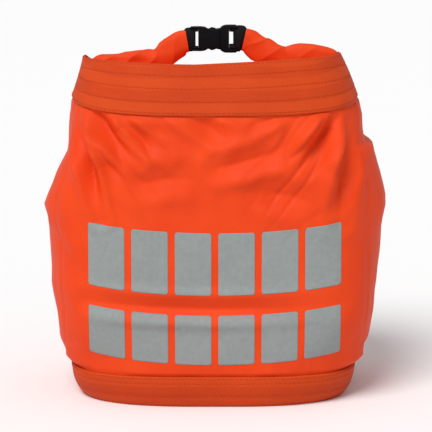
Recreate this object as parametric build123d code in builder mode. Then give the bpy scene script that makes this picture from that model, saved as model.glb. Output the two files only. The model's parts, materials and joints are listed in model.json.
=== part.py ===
"""Rescue rope ladder, packed in its stowage bag.

The closed bag stands on the XY plane with its front towards -Y and its width along X. Inside lie twelve
rungs in two columns, strung on two side ropes, with a carabiner in each rope's upper eye. The collar of the
bag is rolled, and its two ends rise from the corners of the mouth and meet in a side-release buckle, which
makes the carrying loop. Millimetres, origin at the centre of the base, +Z up.
"""
import math
import os

from build123d import *

os.makedirs("parts", exist_ok=True)

# ---------------------------------------------------------------- driving dimensions
# Bag
FABRIC = 1.5                 # thickness of the bag's wall
WEBBING = 1.6                # thickness of the 50 mm bands
STITCH_GAP = 0.15            # room between a band and the wall it is sewn to
PLAN_CORNER = 50.0           # radius of the plan's corners
BASE_BAND_TOP = 31.0
MOUTH_BAND_FOOT = 287.0
RIM = 333.0                  # top edge of the mouth band
BAND_LIFT = WEBBING + STITCH_GAP
SEAM_GAP = 0.15              # between the wall's four panels, where they are sewn edge to edge
SEAM_X = 117.0               # seams between the front or back panel and the gussets
SEAM_X_AT_RIM = 92.0
SEAM_BEND = 252.0            # level from which the seams lean inward to the rim

# Level, half width and half depth of the wall's outer face
FOOT = [(0.0, 132.3, 92.3), (BASE_BAND_TOP, 140.3, 98.3)]
BELLY = [
    (BASE_BAND_TOP, 140.3, 98.3),
    (42.0, 148.4, 100.6),
    (57.0, 152.0, 101.5),
    (85.0, 156.0, 103.0),
    (112.0, 160.0, 103.5),
    (150.0, 164.0, 103.0),
    (188.0, 168.5, 102.0),
    (222.0, 158.0, 100.5),
    (252.0, 147.5, 98.5),
    (MOUTH_BAND_FOOT, 139.8, 93.3),
]
MOUTH = [(MOUTH_BAND_FOOT, 139.8, 93.3), (RIM, 124.3, 68.3)]

# Reflective pieces on the front: six in each row
REFLECTIVE = 0.4
PIECES_IN_ROW = 6
ROW_PITCH = 41.5
PIECE_WIDTH = 35.0
ROW_CURVE = 7.0              # the ends of a row ride up by this much
UPPER_ROW = (113.0, 60.0)    # foot and height
LOWER_ROW = (44.0, 49.0)

# Rolled collar
SKIRT = 1.2
SKIRT_RIM = (RIM - 1.0, 122.0, 66.0)
SKIRT_FOOT = (308.0, 107.0, 12.5)
ROLL_LEVEL = 317.3
ROLL_HALF_LENGTH = 104.0
ROLL_WIDTH = 21.0
ROLL_HEIGHT = 15.0
ARM_THICKNESS = 12.0

# Side-release buckle for 20 mm webbing
BUCKLE_LEVEL = 349.5
FEMALE_HALF_HEIGHT = 12.2
MALE_HALF_HEIGHT = 13.8
BUCKLE_THICKNESS = 9.2
BAR_THICKNESS = 4.4
SLOT_HALF_HEIGHT = 10.3
TAB_WEBBING = 1.4
TAB_WIDTH = 20.0
TAB_DEPTH = 9.0              # how far a tab goes into its arm
TAB_LOOP = BAR_THICKNESS + 0.4 + 2 * TAB_WEBBING
TAB_ROOM = 16.0              # height of the room for a tab in an arm
LEFT_END = 29.6              # where the arms' cloth ends, from the middle plane
RIGHT_END = 31.2
MOUTH_PLANE = 5.0            # where the female half ends and the male base begins
CAVITY_HALF_HEIGHT = 8.2
CAVITY_THICKNESS = 5.8
PRONG_THICKNESS = 4.6

# Ladder
RUNG_DIAMETER = 25.0
RUNG_WALL = 1.6
RUNG_LENGTH = 290.0          # over the end plugs
RUNG_SPACING = 300.0         # along the rope
ROPE_DIAMETER = 8.0
ROPE_HOLE = 8.5
HOLE_FROM_MIDDLE = 128.0
COLUMN = 42.0                # the two columns of rungs stand this far from the middle plane
FIRST_LAYER = 54.0
LAYER_PITCH = 33.0
# How far each rung has slid sideways in the pack, from the lowest up
RUNG_SHIFTS = [0.0, 0.0, -2.0, 3.0, -5.0, 3.0, 6.0, -3.0, -15.0, 14.0, 1.0, -1.0]
PLUG_LENGTH = 28.0
PLUG_HEAD = 2.5
SCREW_DIAMETER = 5.0
SCREW_HEAD = 8.5

# Carabiners
ROD = 10.0
CARABINER_LENGTH = 100.0
CARABINER_WIDTH = 38.0
CARABINER_LEVEL = 248.0
CARABINER_BEND = 14.0
GATE_DIAMETER = 8.0
GATE_TONGUE = 3.0
GATE_PIN = 3.0
NOSE = 28.0                  # where the gate's gap starts, from the outer end
HINGE = 82.0                 # where the gap ends
PIN_AT = 86.0
EYE_X = 90.0                 # where the rope's upper eyes lie
EYE_Y = 5.0


def keep(part, name):
    """Labels a finished piece and writes its file."""
    part.label = name
    export_step(part, f"parts/{name}.step")


# ---------------------------------------------------------------- bag
def oval(level, half_width, half_depth):
    """The bag's plan on a level plane: a rectangle with wide round corners."""
    with BuildSketch(Plane.XY.offset(level)) as section:
        RectangleRounded(2 * half_width, 2 * half_depth, min(PLAN_CORNER, 0.9 * half_depth))
    return section.sketch


def through(rows, grow=0.0, mode=Mode.ADD):
    """Lofts the plan through rows of level, half width and half depth, all grown by the same amount."""
    sections = [oval(level, width + grow, depth + grow) for level, width, depth in rows]
    loft(sections=sections, ruled=True, mode=mode)


with BuildPart() as wall:
    through(FOOT + BELLY[1:] + MOUTH[1:])
    through(FOOT + BELLY[1:] + MOUTH[1:], -FABRIC, mode=Mode.SUBTRACT)


def wall_piece(outline, depth, side):
    """The part of the wall behind an outline in XZ, on one side of the middle plane or on both (side 0)."""
    with BuildPart() as piece:
        with BuildSketch(Plane.XZ.offset(-side * SEAM_GAP / 2)):
            with BuildLine():
                Polyline(*outline, close=True)
            make_face()
        extrude(amount=-side * depth if side else depth, both=side == 0)
        add(wall.part, mode=Mode.INTERSECT)
    return piece.part


FRONT_SEAM = [(SEAM_X, -1.0), (SEAM_X, SEAM_BEND), (SEAM_X_AT_RIM, RIM + 1.0)]
front_outline = FRONT_SEAM + [(-x, z) for x, z in reversed(FRONT_SEAM)]
keep(wall_piece(front_outline, 120.0, -1), "bag_front_panel")
keep(wall_piece(front_outline, 120.0, 1), "bag_back_panel")
for side, name in ((-1, "left"), (1, "right")):
    seam = [(side * (x + SEAM_GAP), z) for x, z in FRONT_SEAM]
    far = [(side * 180.0, RIM + 1.0), (side * 180.0, -1.0)]
    keep(wall_piece(seam + far, 120.0, 0), f"bag_gusset_{name}")

with BuildPart() as base_panel:
    add(oval(0.0, FOOT[0][1] - FABRIC - 0.1, FOOT[0][2] - FABRIC - 0.1))
    extrude(amount=2.0)
    chamfer(base_panel.edges().group_by(Axis.Z)[-1], length=0.5)
keep(base_panel.part, "base_panel")


def band(rows):
    """A webbing band that lies on the wall between the first and the last row."""
    with BuildPart() as ring:
        through(rows, BAND_LIFT)
        through(rows, STITCH_GAP, mode=Mode.SUBTRACT)
    return ring.part


keep(band(FOOT), "base_band")
keep(band(MOUTH), "mouth_band")

with BuildPart() as print_layer:
    through(BELLY, STITCH_GAP + REFLECTIVE)
    through(BELLY, STITCH_GAP, mode=Mode.SUBTRACT)


def reflective_row(foot, height):
    """Six plain pieces across the front, cut from a thin layer that follows the belly."""
    first = -ROW_PITCH * (PIECES_IN_ROW - 1) / 2
    places = []
    for index in range(PIECES_IN_ROW):
        x = first + index * ROW_PITCH
        rise = ROW_CURVE * (x / first) ** 2
        places.append((x, foot + height / 2 + rise))
    with BuildPart() as row:
        with BuildSketch(Plane.XZ):
            with Locations(*places):
                RectangleRounded(PIECE_WIDTH, height, 3.0)
        extrude(amount=120.0)
        add(print_layer.part, mode=Mode.INTERSECT)
    return row.part


keep(reflective_row(*UPPER_ROW), "reflective_row_upper")
keep(reflective_row(*LOWER_ROW), "reflective_row_lower")

# ---------------------------------------------------------------- rolled collar
with BuildPart() as collar_skirt:
    through([SKIRT_FOOT, SKIRT_RIM])
    lifted = [(level + SKIRT, width, depth) for level, width, depth in (SKIRT_FOOT, SKIRT_RIM)]
    through(lifted, mode=Mode.SUBTRACT)
keep(collar_skirt.part, "collar_skirt")

with BuildPart() as collar_roll:
    with BuildSketch(Plane.YZ.offset(-ROLL_HALF_LENGTH)):
        with Locations((0, ROLL_LEVEL)):
            Ellipse(ROLL_WIDTH / 2, ROLL_HEIGHT / 2)
    extrude(amount=2 * ROLL_HALF_LENGTH)
keep(collar_roll.part, "collar_roll")

# An arm's outline, from the buckle out and back: its underside, its foot on the end of the roll, and its top
ARM_UNDERSIDE = [(29.6, 338.5), (38.0, 331.5), (52.0, 328.0), (96.0, 327.5)]
ARM_FOOT = [(104.2, 325.3), (104.2, 312.5), (106.5, 314.5), (117.5, 330.5)]
LEFT_TOP = [(118.5, 333.5), (94.0, 335.5), (77.0, 339.5), (61.0, 342.0), (45.0, 351.5), (29.6, 358.0)]
RIGHT_TOP = [(119.0, 334.5), (108.0, 342.0), (95.0, 344.0), (80.0, 343.5), (64.0, 343.0), (50.0, 351.5),
             (31.2, 359.6)]


def collar_arm(side, top, inner_end):
    """One raised end of the roll, with a pocket for the buckle's webbing tab."""
    underside = [(inner_end, ARM_UNDERSIDE[0][1])] + ARM_UNDERSIDE[1:]
    low = [(side * x, z) for x, z in underside]
    foot = [(side * x, z) for x, z in ARM_FOOT]
    high = [(side * x, z) for x, z in top]
    with BuildPart() as arm:
        with BuildSketch(Plane.XZ):
            with BuildLine():
                Spline(*low)
                Polyline(low[-1], *foot, high[0])
                Spline(*high)
                Line(high[-1], low[0])
            make_face()
        extrude(amount=ARM_THICKNESS / 2, both=True)
        with Locations((side * (inner_end + TAB_DEPTH / 2), 0, BUCKLE_LEVEL - 1.0)):
            Box(TAB_DEPTH, TAB_LOOP + 0.4, TAB_ROOM, mode=Mode.SUBTRACT)
    return arm.part


keep(collar_arm(-1, LEFT_TOP, LEFT_END), "collar_arm_left")
keep(collar_arm(1, RIGHT_TOP, RIGHT_END), "collar_arm_right")

# ---------------------------------------------------------------- buckle
FEMALE_SLOT = (-21.4, -16.4)
FEMALE_END = -24.8
MALE_SLOT = (14.0, 19.6)
MALE_END = 23.0


def mirrored_outline(upper):
    """Closes an outline of (x, height) points with its mirror image below the buckle's middle."""
    lower = [(x, -height) for x, height in reversed(upper)]
    return [(x, BUCKLE_LEVEL + height) for x, height in upper + lower]


def buckle_plate(upper, thickness):
    """A flat moulding in the loop's plane with softened front and back edges."""
    with BuildPart() as plate:
        with BuildSketch(Plane.XZ):
            with BuildLine():
                Polyline(*mirrored_outline(upper), close=True)
            make_face()
        extrude(amount=thickness / 2, both=True)
        fillet(plate.edges().group_by(Axis.Y)[0] + plate.edges().group_by(Axis.Y)[-1], radius=0.9)
    return plate.part


def cut_across(span, half_height, thickness):
    """Cuts a block out of the part being built, over a span of X and to each side of the buckle's middle."""
    middle = (span[0] + span[1]) / 2
    with Locations((middle, 0, BUCKLE_LEVEL)):
        Box(span[1] - span[0], thickness, 2 * half_height, mode=Mode.SUBTRACT)


FEMALE_UPPER = [(FEMALE_END, 10.6), (-23.4, 12.0), (-10.5, FEMALE_HALF_HEIGHT), (-7.6, 10.2), (-5.6, 9.5),
                (2.0, 9.9), (MOUTH_PLANE, 10.6)]
with BuildPart() as buckle_female:
    add(buckle_plate(FEMALE_UPPER, BUCKLE_THICKNESS))
    cut_across(FEMALE_SLOT, SLOT_HALF_HEIGHT, 20.0)
    cut_across((-13.5, MOUTH_PLANE + 1), CAVITY_HALF_HEIGHT, CAVITY_THICKNESS)
    cut_across((-8.6, 1.6), 20.0, PRONG_THICKNESS + 0.8)
    for face in (-1, 1):
        with Locations((-22.7, face * BUCKLE_THICKNESS / 2, BUCKLE_LEVEL)):
            Box(5.4, BUCKLE_THICKNESS - BAR_THICKNESS, 2 * SLOT_HALF_HEIGHT, mode=Mode.SUBTRACT)
keep(buckle_female.part, "buckle_female")

MALE_UPPER = [(MOUTH_PLANE + 0.4, 11.4), (7.6, 13.3), (9.2, MALE_HALF_HEIGHT), (20.0, MALE_HALF_HEIGHT),
              (MALE_END, 12.0)]
with BuildPart() as buckle_male:
    add(buckle_plate(MALE_UPPER, BUCKLE_THICKNESS))
    cut_across(MALE_SLOT, SLOT_HALF_HEIGHT, 20.0)
    for face in (-1, 1):
        with Locations((21.6, face * BUCKLE_THICKNESS / 2, BUCKLE_LEVEL)):
            Box(4.6, BUCKLE_THICKNESS - BAR_THICKNESS, 2 * SLOT_HALF_HEIGHT, mode=Mode.SUBTRACT)
    with Locations((0.9, 0, BUCKLE_LEVEL)):
        Box(9.4, 3.6, 2.6)
    for rib in range(5):
        with Locations((9.6 + 2.4 * rib, 0, BUCKLE_LEVEL + MALE_HALF_HEIGHT),
                       (9.6 + 2.4 * rib, 0, BUCKLE_LEVEL - MALE_HALF_HEIGHT)):
            Box(0.9, 6.0, 0.8)
keep(buckle_male.part, "buckle_male")

# A prong's outline from its root: out along the top to the button and the tip, back along the inside
PRONG_OUTLINE = [(5.2, 6.6), (1.2, 7.5), (0.6, 10.4), (-3.0, 11.4), (-6.4, 9.9), (-7.8, 7.4), (-11.4, 7.0),
                 (-11.6, 5.6), (-7.0, 5.2), (-3.0, 4.9), (5.2, 3.8)]


def prong(side):
    """One springy prong with its squeeze button; side is 1 above the middle and -1 below it."""
    outline = [(x, BUCKLE_LEVEL + side * height) for x, height in PRONG_OUTLINE]
    with BuildPart() as arm:
        with BuildSketch(Plane.XZ):
            with BuildLine():
                Polyline(*outline, close=True)
            make_face()
        extrude(amount=PRONG_THICKNESS / 2, both=True)
        rims = arm.edges().group_by(Axis.Y)[0] + arm.edges().group_by(Axis.Y)[-1]
        chamfer(rims, length=0.35)
    return arm.part


keep(prong(1), "prong_upper")
keep(prong(-1), "prong_lower")


def webbing_tab(side, bar_face, arm_end):
    """A strip folded round the buckle's bar, both plies running into the arm."""
    inner = bar_face - 0.2
    outer_end = arm_end + TAB_DEPTH - 1.0
    length = outer_end - (inner - TAB_WEBBING)
    width = TAB_LOOP
    with BuildPart() as tab:
        with BuildSketch(Plane.XY.offset(BUCKLE_LEVEL - TAB_WIDTH / 2)):
            with Locations((side * (outer_end - length / 2), 0)):
                RectangleRounded(length, width, 1.6)
            hole = length - 2 * TAB_WEBBING
            with Locations((side * (inner + hole / 2), 0)):
                RectangleRounded(hole, width - 2 * TAB_WEBBING, 0.4, mode=Mode.SUBTRACT)
        extrude(amount=TAB_WIDTH)
        # the plies narrow where they go into the arm
        for end in (-1, 1):
            with Locations((side * (arm_end + TAB_DEPTH / 2), 0, BUCKLE_LEVEL + end * TAB_WIDTH / 2 - 1.0)):
                Box(TAB_DEPTH + 1.0, width + 1, TAB_WIDTH - TAB_ROOM + 1.0, mode=Mode.SUBTRACT)
    return tab.part


keep(webbing_tab(-1, -FEMALE_SLOT[0], LEFT_END), "buckle_tab_left")
keep(webbing_tab(1, MALE_SLOT[1], RIGHT_END), "buckle_tab_right")

# ---------------------------------------------------------------- ladder: rungs
RUNG_COUNT = len(RUNG_SHIFTS)
TUBE_LENGTH = RUNG_LENGTH - 2 * PLUG_HEAD


def rung_place(index):
    """The middle of a rung: two to a layer, and each layer starts in the column where the last one ended."""
    layer = index // 2
    second = index % 2
    front_first = layer % 2 == 0
    at_front = front_first != bool(second)
    y = -COLUMN if at_front else COLUMN
    return RUNG_SHIFTS[index], y, FIRST_LAYER + layer * LAYER_PITCH


def rope_holes():
    """Cuts the two rope holes, front to back, out of the rung or plug that is being built."""
    for side in (-1, 1):
        with Locations(Location((x + side * HOLE_FROM_MIDDLE, y, z), (90, 0, 0))):
            Cylinder(ROPE_HOLE / 2, RUNG_DIAMETER + 4, mode=Mode.SUBTRACT)


for index in range(RUNG_COUNT):
    x, y, z = rung_place(index)
    with BuildPart() as rung:
        with BuildSketch(Plane.YZ.offset(x - TUBE_LENGTH / 2)):
            with Locations((y, z)):
                Circle(RUNG_DIAMETER / 2)
                Circle(RUNG_DIAMETER / 2 - RUNG_WALL, mode=Mode.SUBTRACT)
        extrude(amount=TUBE_LENGTH)
        rope_holes()
    keep(rung.part, f"rung_{index + 1:02d}")

with BuildPart() as rung_end_plugs:
    for index in range(RUNG_COUNT):
        x, y, z = rung_place(index)
        for side in (-1, 1):
            end = x + side * TUBE_LENGTH / 2
            with Locations(Location((end - side * PLUG_LENGTH / 2, y, z), (0, 90, 0))):
                Cylinder(RUNG_DIAMETER / 2 - RUNG_WALL - 0.05, PLUG_LENGTH)
            with Locations(Location((end + side * PLUG_HEAD / 2, y, z), (0, 90, 0))):
                Cylinder(RUNG_DIAMETER / 2, PLUG_HEAD)
            with Locations(Location((end, y, z), (0, 90, 0))):
                Cylinder(SCREW_DIAMETER / 2 + 0.1, 2 * PLUG_LENGTH, mode=Mode.SUBTRACT)
            with Locations(Location((end + side * PLUG_HEAD, y, z), (0, 90, 0))):
                Cylinder(SCREW_HEAD / 2 + 0.2, 2 * PLUG_HEAD + 2.0, mode=Mode.SUBTRACT)
        rope_holes()
    heads = rung_end_plugs.edges().filter_by(GeomType.CIRCLE)
    heads = heads.filter_by(lambda edge: abs(edge.radius - RUNG_DIAMETER / 2) < 0.01)
    outer_rims = ShapeList(
        edge for edge in heads
        if min(abs(abs(edge.center().X - RUNG_SHIFTS[i]) - RUNG_LENGTH / 2) for i in range(RUNG_COUNT)) < 0.01)
    fillet(outer_rims, radius=1.6)
keep(rung_end_plugs.part, "rung_end_plugs")

with BuildPart() as rope_lock_screws:
    for index in range(RUNG_COUNT):
        x, y, z = rung_place(index)
        for side in (-1, 1):
            tip = x + side * (HOLE_FROM_MIDDLE + ROPE_DIAMETER / 2 + 0.1)
            seat = x + side * (TUBE_LENGTH / 2 - 1.0)
            with Locations(Location(((tip + seat) / 2, y, z), (0, 90, 0))):
                Cylinder(SCREW_DIAMETER / 2, abs(seat - tip))
            with Locations(Location((seat + side * 1.2, y, z), (0, 90, 0))):
                Cylinder(SCREW_HEAD / 2, 2.4)
            with Locations(Location((seat + side * 1.9, y, z), (0, 90, 0))):
                Cylinder(1.8, 1.2, mode=Mode.SUBTRACT)
keep(rope_lock_screws.part, "rope_lock_screws")

# ---------------------------------------------------------------- ladder: side ropes
EXIT_BEND = 12.0             # radius where the rope leaves a rung
MIDDLE_RUN = COLUMN - RUNG_DIAMETER / 2 - EXIT_BEND    # y of the bights between the columns
OUTER_RUN = COLUMN + RUNG_DIAMETER / 2 + EXIT_BEND + 1.0
MIDDLE_BEND = MIDDLE_RUN - 0.1
OUTER_BEND = LAYER_PITCH / 2 - 0.1
CORNER_SAVING = 2 - math.pi / 2    # a right-angled corner of radius r is this many r shorter than its legs


def bight_depth(from_x, to_x, leg, crossing, far_bend):
    """How far in a bight reaches, so that one rung spacing of rope lies between two holes."""
    spare = 2 * EXIT_BEND * CORNER_SAVING + 2 * far_bend * CORNER_SAVING
    runs = RUNG_SPACING + spare - 2 * leg - crossing
    return (from_x + to_x - runs) / 2


def hole_reach(index, side):
    """The distance of a rung's rope hole from the middle plane, on one side."""
    return HOLE_FROM_MIDDLE + side * RUNG_SHIFTS[index]


def side_rope(side):
    """The route of one rope: its corners and their radii, from the lowest rung to the upper eye."""
    corners = [(side * hole_reach(0, side), -COLUMN - RUNG_DIAMETER / 2 - 14.0, FIRST_LAYER)]
    radii = []
    for index in range(RUNG_COUNT - 1):
        here = hole_reach(index, side)
        there = hole_reach(index + 1, side)
        _, y, z = rung_place(index)
        _, next_y, next_z = rung_place(index + 1)
        if index % 2 == 0:
            run = math.copysign(MIDDLE_RUN, y)
            reach = bight_depth(here, there, COLUMN - MIDDLE_RUN, 2 * MIDDLE_RUN, MIDDLE_BEND)
            corners += [(side * here, run, z), (side * reach, run, z),
                        (side * reach, -run, z), (side * there, -run, z)]
            radii += [EXIT_BEND, MIDDLE_BEND, MIDDLE_BEND, EXIT_BEND]
        else:
            run = math.copysign(OUTER_RUN, y)
            reach = bight_depth(here, there, OUTER_RUN - COLUMN, LAYER_PITCH, OUTER_BEND)
            corners += [(side * here, run, z), (side * reach, run, z),
                        (side * reach, run, next_z), (side * there, run, next_z)]
            radii += [EXIT_BEND, OUTER_BEND, OUTER_BEND, EXIT_BEND]
    last = hole_reach(RUNG_COUNT - 1, side)
    top = FIRST_LAYER + (RUNG_COUNT // 2 - 1) * LAYER_PITCH
    lead = -COLUMN - RUNG_DIAMETER / 2 - 14.0
    bend = (CARABINER_LEVEL - top) / 2 - 0.1
    corners += [(side * last, lead, top), (side * last, lead, CARABINER_LEVEL),
                (side * EYE_X, lead, CARABINER_LEVEL)]
    radii += [bend, bend, 14.0]
    return corners, radii


EYE_HALF = 14.0              # half the eye's height, at the rope's centre line
EYE_TAIL = EYE_Y - 24.0      # where the two plies leave the ferrule
PLY_GAP = ROPE_DIAMETER / 2 + 0.1


def eye_loop(x):
    """The corners and radii of the eye, standing upright in front of the ferrule."""
    low = CARABINER_LEVEL
    top = CARABINER_LEVEL + 2 * PLY_GAP
    middle = CARABINER_LEVEL + PLY_GAP
    corners = [(x, EYE_TAIL, low), (x, EYE_Y - 12.0, middle - EYE_HALF), (x, EYE_Y + EYE_HALF, middle - EYE_HALF),
               (x, EYE_Y + EYE_HALF, middle + EYE_HALF), (x, EYE_Y - 12.0, middle + EYE_HALF),
               (x, EYE_TAIL, top), (x, EYE_TAIL - 22.0, top)]
    radii = [10.0, 10.0, EYE_HALF - 0.1, EYE_HALF - 0.1, 10.0, 10.0]
    return corners, radii


for side, name in ((-1, "left"), (1, "right")):
    route, bends = side_rope(side)
    eye, eye_bends = eye_loop(side * EYE_X)
    with BuildPart() as side_rope_part:
        with BuildLine() as path:
            FilletPolyline(*route, *eye, radius=bends + eye_bends)
        with BuildSketch(Plane(origin=route[0], z_dir=(0, 1, 0))):
            Circle(ROPE_DIAMETER / 2)
        sweep()
    rope_length = sum(edge.length for edge in path.line.edges())
    section_area = math.pi * ROPE_DIAMETER ** 2 / 4
    share = side_rope_part.part.volume / (section_area * rope_length)
    print(f"side_rope_{name}: length {rope_length:.0f} mm, volume over section times length {share:.4f},",
          f"radii {min(bends + eye_bends):.1f} to {max(bends + eye_bends):.1f}")
    keep(side_rope_part.part, f"side_rope_{name}")

    start = route[0]
    with BuildPart() as rope_end_stop:
        with Locations(Location((start[0], start[1] + 5.0, start[2]), (90, 0, 0))):
            Cylinder(ROPE_DIAMETER / 2 + 3.0, 12.0)
            Cylinder(ROPE_DIAMETER / 2 + 0.05, 14.0, mode=Mode.SUBTRACT)
        chamfer(rope_end_stop.edges().filter_by(GeomType.CIRCLE).sort_by(SortBy.RADIUS)[-2:], length=0.8)
    keep(rope_end_stop.part, f"rope_end_stop_{name}")

    with BuildPart() as eye_ferrule:
        with BuildSketch(Plane(origin=(side * EYE_X, EYE_TAIL - 3.0, CARABINER_LEVEL + PLY_GAP),
                               x_dir=(1, 0, 0), z_dir=(0, -1, 0))):
            RectangleRounded(ROPE_DIAMETER + 4.0, 2 * ROPE_DIAMETER + 4.2, 5.9)
            with Locations((0, PLY_GAP), (0, -PLY_GAP)):
                Circle(ROPE_DIAMETER / 2 + 0.05, mode=Mode.SUBTRACT)
        extrude(amount=17.0)
    keep(eye_ferrule.part, f"eye_ferrule_{name}")

    inside = EYE_HALF - ROPE_DIAMETER / 2 - 0.3
    with BuildPart() as thimble:
        with BuildSketch(Plane(origin=(side * EYE_X - 4.0, EYE_Y, CARABINER_LEVEL + PLY_GAP),
                               x_dir=(0, 1, 0), z_dir=(1, 0, 0))):
            Circle(inside)
            Circle(inside - 1.5, mode=Mode.SUBTRACT)
        extrude(amount=8.0)
        chamfer(thimble.edges(), length=0.4)
    keep(thimble.part, f"thimble_{name}")

# ---------------------------------------------------------------- ladder: carabiners
SPINE_Y = EYE_Y
GATE_Y = SPINE_Y + CARABINER_WIDTH
LEVEL = CARABINER_LEVEL + PLY_GAP
OUTER_END = EYE_X + 24.0     # the end of the carabiner beyond the eye, from the middle plane


def along(side, distance):
    """A carabiner's X at a distance from its outer end towards the middle of the bag."""
    return side * (OUTER_END - distance)


for side, name in ((-1, "left"), (1, "right")):
    with BuildPart() as carabiner:
        with BuildLine():
            FilletPolyline((along(side, NOSE), GATE_Y, LEVEL), (along(side, 0), GATE_Y, LEVEL),
                           (along(side, 0), SPINE_Y, LEVEL), (along(side, CARABINER_LENGTH), SPINE_Y, LEVEL),
                           (along(side, CARABINER_LENGTH), GATE_Y, LEVEL), (along(side, HINGE), GATE_Y, LEVEL),
                           radius=CARABINER_BEND)
        with BuildSketch(Plane(origin=(along(side, NOSE), GATE_Y, LEVEL), z_dir=(side, 0, 0))):
            Circle(ROD / 2)
        sweep()
        slot_middle = (HINGE + PIN_AT + 4.5) / 2
        with Locations((along(side, slot_middle), GATE_Y, LEVEL)):
            Box(PIN_AT + 4.5 - HINGE + 1, ROD + 2, GATE_TONGUE + 0.6, mode=Mode.SUBTRACT)
        with Locations((along(side, PIN_AT), GATE_Y, LEVEL)):
            Cylinder(GATE_PIN / 2 + 0.02, 2 * ROD, mode=Mode.SUBTRACT)
    keep(carabiner.part, f"carabiner_{name}_body")

    with BuildPart() as gate:
        rod_start = NOSE + 1.5
        rod_end = HINGE - 2.5
        with Locations(Location((along(side, (rod_start + rod_end) / 2), GATE_Y, LEVEL), (0, 90, 0))):
            Cylinder(GATE_DIAMETER / 2, rod_end - rod_start)
        chamfer(gate.edges().filter_by(GeomType.CIRCLE), length=0.6)
        with Locations((along(side, (rod_end - 4 + PIN_AT) / 2), GATE_Y, LEVEL)):
            Box(PIN_AT - rod_end + 4, 6.4, GATE_TONGUE)
        with Locations((along(side, PIN_AT), GATE_Y, LEVEL)):
            Cylinder(3.2, GATE_TONGUE)
            Cylinder(GATE_PIN / 2 + 0.06, GATE_TONGUE + 2, mode=Mode.SUBTRACT)
    keep(gate.part, f"carabiner_{name}_gate")

    with BuildPart() as pin:
        with Locations((along(side, PIN_AT), GATE_Y, LEVEL)):
            Cylinder(GATE_PIN / 2, ROD - 0.6)
        chamfer(pin.edges().filter_by(GeomType.CIRCLE), length=0.25)
    keep(pin.part, f"carabiner_{name}_pin")
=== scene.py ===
"""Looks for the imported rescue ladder: a closed nylon stowage bag with a buckled carrying loop.

The front faces -Y. Fabric pieces are made here as grids of points around or along the bag, and stand for the
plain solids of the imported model. The two buckle halves are rounded copies of their solids. The prongs and the
ladder inside keep their own shapes. Lengths are in millimetres unless a comment says otherwise.
"""
import json
import math

import bmesh
import bpy
import numpy as np
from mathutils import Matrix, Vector, noise
from mathutils.bvhtree import BVHTree


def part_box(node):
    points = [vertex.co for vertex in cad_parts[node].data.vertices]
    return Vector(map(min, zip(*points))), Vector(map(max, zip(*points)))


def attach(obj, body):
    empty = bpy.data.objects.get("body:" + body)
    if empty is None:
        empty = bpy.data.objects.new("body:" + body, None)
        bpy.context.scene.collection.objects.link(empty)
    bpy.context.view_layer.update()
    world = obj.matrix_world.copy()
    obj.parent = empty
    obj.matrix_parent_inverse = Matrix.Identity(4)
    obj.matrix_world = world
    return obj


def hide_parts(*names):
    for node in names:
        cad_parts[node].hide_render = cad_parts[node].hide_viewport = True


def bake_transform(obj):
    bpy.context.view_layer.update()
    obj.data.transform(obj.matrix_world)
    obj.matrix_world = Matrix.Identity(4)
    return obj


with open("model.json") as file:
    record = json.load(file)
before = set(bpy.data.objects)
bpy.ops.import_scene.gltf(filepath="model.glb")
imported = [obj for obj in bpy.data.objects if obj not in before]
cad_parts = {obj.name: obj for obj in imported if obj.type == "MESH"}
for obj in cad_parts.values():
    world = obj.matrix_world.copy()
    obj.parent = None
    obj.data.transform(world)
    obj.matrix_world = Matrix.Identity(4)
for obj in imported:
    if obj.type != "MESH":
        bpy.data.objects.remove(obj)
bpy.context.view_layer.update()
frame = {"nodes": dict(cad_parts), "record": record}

MM = 0.001
BAG = "bag"
LOOP = "carrying_loop"
MALE = "buckle_male_half"

# ------------------------------------------------------------------ places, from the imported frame
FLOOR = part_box("base_band")[0].z / MM
BASE_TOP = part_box("base_band")[1].z / MM
MOUTH_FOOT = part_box("mouth_band")[0].z / MM
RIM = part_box("mouth_band")[1].z / MM
ROLL_LOW, ROLL_HIGH = (corner.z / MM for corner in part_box("collar_roll"))
ROLL_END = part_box("collar_roll")[1].x / MM
BUCKLE_MIDDLE = (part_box("buckle_female")[0].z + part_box("buckle_female")[1].z) / 2 / MM

WEBBING = 1.6                  # thickness of the bands
FABRIC = 0.9                   # thickness of the bag's cloth
THIN_FABRIC = 0.7              # thickness of the collar's cloth
BASE_FABRIC = 0.8
PRINT = 0.3                    # thickness of the reflective film
PLAN_POWER = 4.0               # 2 is an ellipse, more is a rounder-cornered rectangle
BAND_PANELS = 4                # lengthwise panels in 50 mm webbing
BASE_BAND_SHOWS = 0.64         # share of the base band's webbing that shows above the floor


# ------------------------------------------------------------------ small helpers
def smooth(value, low, high):
    """0 below low, 1 above high and an S between them; works on arrays."""
    share = np.clip((value - low) / (high - low), 0.0, 1.0)
    return share * share * (3 - 2 * share)


def grain(x, y, z, size):
    """Smooth noise from about -1 to 1, for points in millimetres; size is that of one blob."""
    flat = np.broadcast_arrays(x, y, z)
    shape = flat[0].shape
    columns = [part.ravel() / size for part in flat]
    return np.array([noise.noise(point) for point in zip(*columns)]).reshape(shape)


def add_object(name, verts, faces, uvs=None):
    """Makes a mesh object from points in millimetres, smooth shaded, with an optional UV for each point."""
    mesh = bpy.data.meshes.new(name)
    mesh.from_pydata([tuple(point) for point in np.asarray(verts) * MM], [], faces)
    mesh.update()
    if uvs is not None:
        layer = mesh.uv_layers.new(name="UVMap")
        for loop in mesh.loops:
            layer.data[loop.index].uv = uvs[loop.vertex_index]
    for polygon in mesh.polygons:
        polygon.use_smooth = True
    obj = bpy.data.objects.new(name, mesh)
    bpy.context.collection.objects.link(obj)
    return obj


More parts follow.
